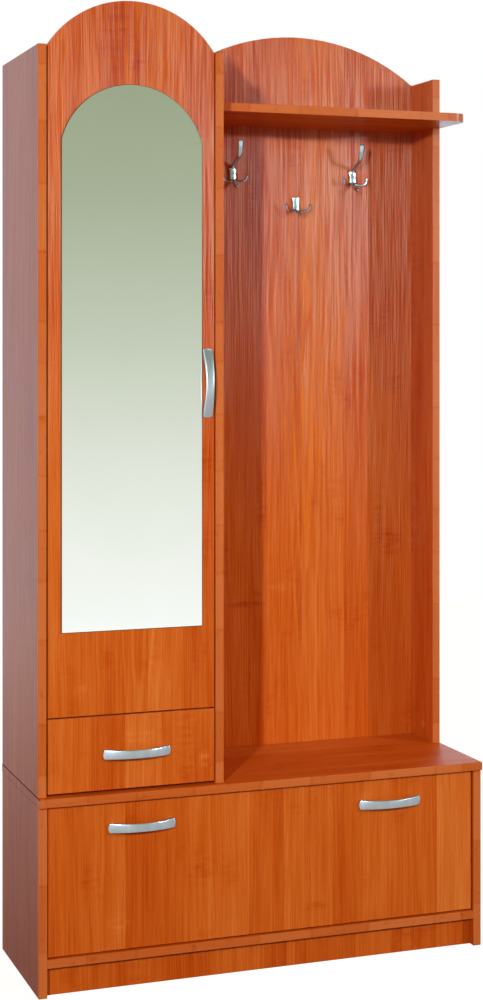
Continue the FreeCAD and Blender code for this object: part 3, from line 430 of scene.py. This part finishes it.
def metal(name, dark, light, rough, scale, stretch=1.0):
    """Metal with fine marks, rougher where it is lighter. A stretch below 1 draws the marks out upwards."""
    plate = Shader(name, Metallic=1.0)
    x, y, z = plate.axes("Object")
    place = plate.point(x, y, plate.math("MULTIPLY", z, stretch))
    marks = plate.noise(place, scale, 4.0, 0.6)
    haze = plate.noise(place, scale / 16)
    value = plate.total((marks, 0.45), (haze, 0.55))
    plate.bump(marks, 0.15, 0.00005)
    return plate.set(Base_Color=plate.two_tone(value, dark, light), Roughness=plate.between(value, *rough))


def speckled(name, scale, dark, light, rough, bump=None, detail=3.0, **settings):
    """A finish with one even noise in its colour and gloss, and in its height where bump is given."""
    finish = Shader(name, **settings)
    specks = finish.noise(finish.point(*finish.axes("Object")), scale, detail)
    if bump:
        finish.bump(specks, *bump)
    return finish.set(
        Base_Color=finish.two_tone(specks, dark, light),
        Roughness=finish.between(specks, *rough),
    )


MATERIALS = {
    "hardboard": pressed_board(),
    # Painted shade: a near-black, matt finish on the eased edge in the joint, standing in for the seam's
    # shadow.
    "painted_joint_shade": speckled(
        "painted_joint_shade", 500.0, (0.050, 0.012, 0.004), (0.110, 0.030, 0.010), (0.8, 0.95),
        bump=(0.2, 0.0002), Specular_IOR_Level=0.0,
    ),
    "drawer_board": pale_board(),
    "beech": speckled(
        "beech", 900.0, (0.42, 0.24, 0.11), (0.62, 0.41, 0.22), (0.55, 0.7),
        bump=(0.2, 0.0002), Specular_IOR_Level=0.3,
    ),
    "mirror": speckled(
        "mirror_silver", 7.0, (0.945, 0.97, 0.945), (0.965, 0.985, 0.965), (0.010, 0.022), Metallic=1.0
    ),
    "mirror_edge": speckled(
        "mirror_edge", 160.0, (0.040, 0.032, 0.026), (0.095, 0.078, 0.062), (0.12, 0.25),
        bump=(0.1, 0.0002), Specular_IOR_Level=0.25,
    ),
    "satin_metal": metal("satin_metal", (0.48, 0.54, 0.58), (0.63, 0.70, 0.73), (0.30, 0.40), 900.0, 0.2),
    "chrome": metal("chrome", (0.36, 0.45, 0.48), (0.56, 0.67, 0.70), (0.02, 0.07), 300.0),
    "zinc": metal("zinc", (0.50, 0.51, 0.54), (0.70, 0.71, 0.73), (0.28, 0.42), 260.0),
    "cap_plastic": speckled(
        "cap_plastic", 1400.0, (0.52, 0.120, 0.020), (0.62, 0.160, 0.034), (0.42, 0.55),
        bump=(0.2, 0.0001), detail=2.0, Specular_IOR_Level=0.4,
    ),
    "edge_upright": banding("edge_upright", True),
    "edge_level": banding("edge_level", False),
}

# Tones of the glued strips, for the panels that the photograph shows square on.
FLAP_STRIPS = [
    (-0.64, 0.46), (-0.538, 0.54), (-0.473, 0.41), (-0.400, 0.47), (-0.322, 0.55), (-0.260, 0.58),
    (-0.197, 0.42), (-0.120, 0.58), (-0.074, 0.49), (-0.009, 0.40), (0.063, 0.50), (0.163, 0.47),
    (0.238, 0.70),
]
DRAWER_STRIPS = [(-0.64, 0.52), (-0.541, 0.34), (-0.470, 0.66), (-0.390, 0.46)]
DOOR_STRIPS = [(-0.64, 0.56), (-0.594, 0.47), (-0.523, 0.37), (-0.420, 0.56), (-0.342, 0.39)]
RACK_STRIPS = [(0.06, 0.42), (0.227, 0.38), (0.275, 0.46), (0.361, 0.56), (0.467, 0.42), (0.530, 0.50)]
PLINTH_STRIPS = [
    (-0.62, 0.44), (-0.530, 0.42), (-0.485, 0.37), (-0.455, 0.42), (-0.370, 0.35), (-0.270, 0.46),
    (-0.208, 0.54), (-0.160, 0.40), (-0.130, 0.32), (-0.096, 0.55), (-0.078, 0.36), (-0.035, 0.42),
    (0.062, 0.52), (0.144, 0.33), (0.176, 0.49), (0.292, 0.37),
]
# Patches of cross ripples on the same panels, each as laminate takes it.
FLAP_CURLS = [
    (-0.300, 0.224, 0.034, 0.034, -0.20),
    (-0.486, 0.134, 0.030, 0.026, 0.18),
    (-0.048, 0.123, 0.034, 0.014, -0.22),
    (-0.350, 0.270, 0.016, 0.016, -0.16),
    (0.075, 0.352, 0.030, 0.012, 0.16),
]
DRAWER_CURLS = [(-0.437, 0.520, 0.040, 0.020, 0.22), (-0.294, 0.461, 0.016, 0.020, 0.30)]
DOOR_CURLS = [(-0.415, 0.674, 0.030, 0.050, -0.12), (-0.565, 0.621, 0.016, 0.020, 0.20)]
RACK_CURLS = [
    (0.581, 0.861, 0.040, 0.036, -0.22),
    (0.222, 0.731, 0.050, 0.008, -0.28),
    (0.316, 0.767, 0.040, 0.016, 0.15),
    (0.247, 0.754, 0.018, 0.008, -0.24),
    (0.600, 1.232, 0.030, 0.034, -0.16),
]

DOOR_SPAN = (-0.65, -0.25)
# The door and the rack's back panel have their open grain darkened high up, as painted shade under the
# sheen.
PANELS = {
    "flap": dict(span=(-0.65, 0.35), strips=FLAP_STRIPS, curls=FLAP_CURLS, seed=11),
    "drawer_front": dict(span=DOOR_SPAN, strips=DRAWER_STRIPS, curls=DRAWER_CURLS, seed=5),
    "door": dict(
        span=DOOR_SPAN, strips=DOOR_STRIPS, curls=DOOR_CURLS, seed=8, groove_shade=0.14,
        arches=[(-0.440, 0.060, 1.6)],
    ),
    "rack_back_panel": dict(
        span=(0.05, 0.67), strips=RACK_STRIPS, curls=RACK_CURLS, seed=21, groove_shade=0.16,
        arches=[(0.372, 0.060, 1.3)],
    ),
    "plinth": dict(span=(-0.62, 0.36), strips=PLINTH_STRIPS, seed=31),
    "rack_side_panel": dict(span=(0.50, 0.70), seed=41),
    "bench_top": dict(span=(0.20, 0.60), upright=False, seed=51),
    "hat_shelf": dict(span=(1.70, 2.05), upright=False, seed=61, polish=0.6),
}
PLAIN_SIDES = ("base_left_side", "cupboard_left_side")
UPRIGHT_HEIGHT = 0.25


def wood_for(node):
    """The laminate of one board: its own where the photograph shows it, else worked out from its box."""
    name = f"laminate_{node}"
    if node in PANELS:
        return laminate(name, **PANELS[node])
    low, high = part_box(node)
    size = high - low
    upright = size.z > size.x or size.z > UPRIGHT_HEIGHT
    if upright:
        span = (low.x + low.y, high.x + high.y)
    else:
        span = (low.y + low.z, high.y + high.z)
    return laminate(name, span, upright, seed=len(node) * 7 + ord(node[-1]), plain=node in PLAIN_SIDES)


# Mesh helpers

Y_AXIS = 1
SAME_POINT = 1e-6
SAME_PLANE = 1e-5
FLAT = math.radians(0.3)
SHARP = math.radians(60)
SMOOTH = math.radians(32)
BORE_FACET = 4.0e-5


def shade(bm, angle=SMOOTH):
    """Smooth shading, apart from edges that turn by more than the angle."""
    for face in bm.faces:
        face.smooth = True
    for edge in bm.edges:
        edge.smooth = len(edge.link_faces) == 2 and edge.calc_face_angle(0.0) < angle


def cad_copy(node):
    """The node's own mesh with its seams joined and its flat faces whole."""
    bm = bmesh.new()
    bm.from_mesh(nodes[node].data)
    bmesh.ops.remove_doubles(bm, verts=bm.verts, dist=SAME_POINT)
    bmesh.ops.dissolve_limit(bm, angle_limit=FLAT, verts=bm.verts, edges=bm.edges)
    bm.normal_update()
    return bm


def rounded(bm, width, segments, keep_flat=None, facet=BORE_FACET):
    """Rounds the sharp outer edges.

    Edges that lie in the plane keep_flat, a pair of axis and place, stay sharp, and so do those next to
    a face smaller than facet, such as the rims of bores.
    """
    edges = []
    for edge in bm.edges:
        if len(edge.link_faces) != 2 or not edge.is_convex:
            continue
        if edge.calc_face_angle(0.0) < SHARP:
            continue
        if min(face.calc_area() for face in edge.link_faces) < facet:
            continue
        if keep_flat and all(abs(vert.co[keep_flat[0]] - keep_flat[1]) < SAME_PLANE for vert in edge.verts):
            continue
        edges.append(edge)
    bmesh.ops.bevel(
        bm,
        geom=edges,
        offset=width,
        offset_type="OFFSET",
        segments=segments,
        profile=0.5,
        affect="EDGES",
        clamp_overlap=True,
    )
    bm.normal_update()


def finish_piece(bm, name, node, materials):
    """Makes the piece that stands in for a CAD node."""
    mesh = bpy.data.meshes.new(name)
    bm.to_mesh(mesh)
    bm.free()
    for material in materials:
        mesh.materials.append(material)
    piece = bpy.data.objects.new(name, mesh)
    scene.collection.objects.link(piece)
    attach(piece, body_of[node])
    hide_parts(node)
    return piece


def apply_modifiers(piece):
    graph = bpy.context.evaluated_depsgraph_get()
    mesh = bpy.data.meshes.new_from_object(piece.evaluated_get(graph))
    piece.modifiers.clear()
    piece.data = mesh


def weigh_normals(piece):
    """Keeps the shading of the flat faces flat, next to their rounded edges."""
    weigh = piece.modifiers.new("weigh", "WEIGHTED_NORMAL")
    weigh.keep_sharp = True
    weigh.weight = 100
    apply_modifiers(piece)
    return piece


# Boards

EDGE_ROUND = 0.0007
EDGE_SEGMENTS = 2
LEVEL_HEIGHT = 0.03
# A face whose normal has this share of an axis faces along that axis.
FACING = 0.9
# The cupboard's side stands on the bench top. Listed here are the boards whose eased edge in that joint is
# painted dark as the seam's shadow, and whether it is on their upper side. Their edges are eased more.
JOINT_ABOVE = {"bench_top": True, "cupboard_left_side": False}
JOINT_EASING = 1.7
# The normals on such an eased edge have at least this share of x and of z.
JOINT_SLOPE = 0.3
FACE, EDGE, END, JOINT_SHADE = range(4)


def dress_board(node, face_material, edge_material, end_material=None):
    """A board with eased edges. Its narrow sides carry the edge band, and its ends end_material if given."""
    low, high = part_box(node)
    size = high - low
    thin = min(range(3), key=lambda axis: size[axis])
    bm = cad_copy(node)
    rounded(bm, EDGE_ROUND * (JOINT_EASING if node in JOINT_ABOVE else 1.0), EDGE_SEGMENTS)
    for face in bm.faces:
        normal = face.normal
        face.material_index = FACE if abs(normal[thin]) > FACING else EDGE
        if end_material and abs(normal.x) > FACING:
            face.material_index = END
        # Painted shadow: the eased edge in the joint gets the dark joint finish.
        eased = min(abs(normal.x), abs(normal.z)) > JOINT_SLOPE
        if eased and JOINT_ABOVE.get(node) == (normal.z > 0):
            face.material_index = JOINT_SHADE
    shade(bm)
    materials = [face_material, edge_material, end_material or face_material, MATERIALS["painted_joint_shade"]]
    return weigh_normals(finish_piece(bm, f"dressed_{node}", node, materials))


laminates = {node: wood_for(node) for node, slot in slots.items() if slot == "laminate"}
wood_pieces = []
for node, slot in slots.items():
    if slot == "laminate":
        low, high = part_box(node)
        edge = MATERIALS["edge_level" if (high - low).z < LEVEL_HEIGHT else "edge_upright"]
        end = laminates["base_left_side"] if node == "bench_top" else None
        wood_pieces.append(dress_board(node, laminates[node], edge, end))
    elif slot in ("drawer_board", "hardboard"):
        dress_board(node, MATERIALS[slot], MATERIALS[slot])

# Mirror

MIRROR_CHAMFER = 0.0010
MIRROR_FACING = 0.98
MIRROR_SMOOTH = math.radians(20)


def dress_mirror():
    """The mirror with a ground chamfer around its front."""
    bm = cad_copy("mirror")
    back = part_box("mirror")[1].y
    rounded(bm, MIRROR_CHAMFER, 1, keep_flat=(Y_AXIS, back), facet=0.0)
    for face in bm.faces:
        face.material_index = 0 if face.normal.y < -MIRROR_FACING else 1
    shade(bm, MIRROR_SMOOTH)
    piece = finish_piece(bm, "mirror_plate", "mirror", [MATERIALS["mirror"], MATERIALS["mirror_edge"]])
    weigh_normals(piece)


dress_mirror()

# Handles and hooks

HANDLE_ROUND = 0.0022
HANDLE_SEGMENTS = 4
HANDLE_FACET = 8.0e-6
HANDLE_SMOOTH = math.radians(40)
HOOK_VOXEL = 0.0005
HOOK_POLISH = 0.5
HOOK_PASSES = 8


def dress_handle(node):
    """A cast handle with rounded rims, flat where it meets the board."""
    bm = cad_copy(node)
    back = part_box(node)[1].y
    rounded(bm, HANDLE_ROUND, HANDLE_SEGMENTS, keep_flat=(Y_AXIS, back), facet=HANDLE_FACET)
    shade(bm, HANDLE_SMOOTH)
    finish_piece(bm, f"cast_{node}", node, [MATERIALS["satin_metal"]])


def dress_hook(node):
    """The casting with the soft fillets that plating leaves, from a fine remesh of its form."""
    piece = finish_piece(cad_copy(node), f"cast_{node}", node, [MATERIALS["chrome"]])
    remesh = piece.modifiers.new("cast", "REMESH")
    remesh.mode = "VOXEL"
    remesh.voxel_size = HOOK_VOXEL
    smooth = piece.modifiers.new("polish", "SMOOTH")
    smooth.factor = HOOK_POLISH
    smooth.iterations = HOOK_PASSES
    apply_modifiers(piece)
    piece.data.materials.clear()
    piece.data.materials.append(MATERIALS["chrome"])
    piece.data.shade_smooth()


for node in ("door_handle", "drawer_handle", "flap_handle_left", "flap_handle_right"):
    dress_handle(node)
for node in ("tall_hook_left", "tall_hook_right", "small_hook"):
    dress_hook(node)

# Fittings keep their CAD shape.

for node, slot in slots.items():
    if slot in ("zinc", "beech", "cap_plastic") or node == "hook_screws":
        nodes[node].data.materials.clear()
        nodes[node].data.materials.append(MATERIALS[slot])

# Stage

FLOOR_CENTRE = Vector((0.0, 0.6, 0.0))
FLOOR_HALF_SIDES = (Vector((4.5, 0.0, 0.0)), Vector((0.0, 4.1, 0.0)))
FLOOR_GREY = (0.25, 0.25, 0.25)
FLOOR_GLOW = 0.95
# In reflections the floor glows from the first strength to the second, between the unit and its far side.
FLOOR_FAR = 4.7
FLOOR_MIRRORED = (0.42, 1.60)
FLAG_CENTRE = Vector((-1.085, -0.30, 1.1))
FLAG_HALF_SIDES = (Vector((0.5, 0.0, 0.0)), Vector((0.0, 0.0, 1.1)))


def emptied(owner):
    """The node tree of a material or world, without its first nodes."""
    owner.use_nodes = True
    owner.node_tree.nodes.clear()
    return Nodes(owner.node_tree)


def make_sheet(name, centre, half_sides):
    """A flat sheet with a material of its own name."""
    bm = bmesh.new()
    bmesh.ops.create_grid(bm, x_segments=1, y_segments=1, size=1.0)
    for vert in bm.verts:
        vert.co = centre + vert.co.x * half_sides[0] + vert.co.y * half_sides[1]
    mesh = bpy.data.meshes.new(name)
    bm.to_mesh(mesh)
    bm.free()
    mesh.materials.append(bpy.data.materials.new(name))
    sheet = bpy.data.objects.new(name, mesh)
    scene.collection.objects.link(sheet)
    return sheet


def make_floor():
    """A pale floor, white to the camera; in reflections it brightens towards the white wall."""
    floor = make_sheet("floor", FLOOR_CENTRE, FLOOR_HALF_SIDES)
    paint = emptied(floor.data.materials[0])
    diffuse = paint.node("ShaderNodeBsdfDiffuse", {"Color": opaque(FLOOR_GREY)}).outputs[0]
    far = paint.spread(paint.axes("Object")["Y"], 0.0, FLOOR_FAR, *FLOOR_MIRRORED)
    rays = paint.node("ShaderNodeLightPath").outputs
    mirrored = paint.math("MULTIPLY", rays["Is Glossy Ray"], far)
    gain = paint.weighted(rays["Is Camera Ray"], FLOOR_GLOW, mirrored)
    glow = paint.node("ShaderNodeEmission", {"Strength": gain}).outputs[0]
    both = paint.node("ShaderNodeAddShader", {0: diffuse, 1: glow}).outputs[0]
    paint.node("ShaderNodeOutputMaterial", {"Surface": both})


def make_flag():
    """A studio flag that keeps the left lamp off the unit's left side."""
    flag = make_sheet("flag", FLAG_CENTRE, FLAG_HALF_SIDES)
    flag.visible_camera = False
    flag.visible_diffuse = False
    flag.visible_glossy = False
    flag.visible_transmission = False


make_floor()
make_flag()

# Light

# The ranges here are of a direction's z, x or y. The studio's colours run from low to high directions.
STUDIO_HEIGHTS = (-0.20, 0.20)
STUDIO_STOPS = [
    (0.10, (0.990, 1.000, 0.980)),
    (0.30, (0.820, 0.840, 0.770)),
    (0.50, (0.575, 0.620, 0.505)),
    (0.70, (0.405, 0.450, 0.325)),
    (0.90, (0.320, 0.365, 0.240)),
]
# Where each patch begins in x, where it is full, and its colour: dark on the right, bright on the left.
STUDIO_PATCHES = (
    (0.55, 0.78, (0.08, 0.11, 0.14)),
    (-0.62, -0.80, (1.35, 1.50, 1.60)),
)
# Where the studio gives way to the wall in y, and the wall's left to its right in x.
BEHIND = (-0.25, 0.35)
WALL_SIDES = (-0.3, 0.2)
WALL_LEFT = (1.42, 1.55, 1.68)
WALL_RIGHT = (1.50, 1.86, 2.05)
# What lights the matt surfaces, from all around.
ROOM_GLOW = (0.40, 0.26, 0.10)
WHITE = (1.0, 1.0, 1.0)

LEFT_LAMP = Vector((-2.87, -4.35, 2.27))
RIGHT_LAMP = Vector((4.37, -3.95, 2.18))
LAMP_AIM = Vector((0.0, 0.0, 1.0))
LAMP_SIZE = (0.14, 0.14)
LAMP_COLOUR = (1.0, 1.12, 1.30)
LAMP_SPREAD = 110
LAMPS = (("left_lamp", LEFT_LAMP, 53.5), ("right_lamp", RIGHT_LAMP, 45.0))
SHEEN_AIM = Vector((0.65, 0.0, 1.75))
SHEEN_SIZE = (0.12, 2.0)
SHEEN_COLOUR = (0.12, 0.88, 0.90)
SHEEN_SPREAD = 22
SHEEN_BOXES = (("left_sheen", LEFT_LAMP, 25.5), ("right_sheen", RIGHT_LAMP, 8.0))


def make_world():
    """White behind the unit; towards the camera's side a studio that darkens from floor to ceiling."""
    world = bpy.data.worlds.new("studio")
    scene.world = world
    world.cycles.sampling_method = "NONE"
    sky = emptied(world)
    x, y, z = sky.axes("Generated")
    studio = sky.ramp(sky.spread(z, *STUDIO_HEIGHTS), STUDIO_STOPS)
    for begin, full, colour in STUDIO_PATCHES:
        studio = sky.mix(sky.spread(x, begin, full), studio, opaque(colour))
    wall = sky.mix(sky.spread(x, *WALL_SIDES), opaque(WALL_LEFT), opaque(WALL_RIGHT))
    around = sky.mix(sky.spread(y, *BEHIND), studio, wall)
    rays = sky.node("ShaderNodeLightPath").outputs
    dimmed = sky.mix(rays["Is Diffuse Ray"], around, opaque(ROOM_GLOW))
    seen = sky.mix(rays["Is Camera Ray"], dimmed, opaque(WHITE))
    background = sky.node("ShaderNodeBackground", {"Color": seen}).outputs[0]
    sky.node("ShaderNodeOutputWorld", {"Surface": background})


def area_light(name, place, aim, size, power, colour, spread):
    """A lamp that the camera doesn't see. Its spread is in degrees."""
    light = bpy.data.lights.new(name, "AREA")
    light.shape = "RECTANGLE"
    light.size, light.size_y = size
    light.energy = power
    light.color = colour
    light.spread = math.radians(spread)
    lamp = bpy.data.objects.new(name, light)
    scene.collection.objects.link(lamp)
    lamp.location = place
    lamp.rotation_euler = (aim - place).to_track_quat("-Z", "Y").to_euler()
    lamp.visible_camera = False
    return lamp


make_world()
for name, place, power in LAMPS:
    area_light(name, place, LAMP_AIM, LAMP_SIZE, power, LAMP_COLOUR, LAMP_SPREAD)

# Beside each lamp a tall soft box gives the pressed grain its sheen; only the laminate takes it.
grained = bpy.data.collections.new("grained")
for piece in wood_pieces:
    grained.objects.link(piece)
for name, place, power in SHEEN_BOXES:
    lamp = area_light(name, place, SHEEN_AIM, SHEEN_SIZE, power, SHEEN_COLOUR, SHEEN_SPREAD)
    lamp.visible_diffuse = False
    lamp.light_linking.receiver_collection = grained

# Camera

CAMERA_PLACE = (-1.39538, -3.82475, 1.33406)
CAMERA_TURN = math.radians(-19.98)
LEVEL = math.radians(90)

camera = bpy.data.objects.new("camera", bpy.data.cameras.new("camera"))
camera.data.lens = 66.63
camera.data.sensor_width = 36.0
camera.data.shift_y = -0.1585
camera.location = CAMERA_PLACE
camera.rotation_euler = (LEVEL, 0.0, CAMERA_TURN)
scene.collection.objects.link(camera)
scene.camera = camera
scene.view_settings.view_transform = "Standard"
scene.view_settings.look = "None"
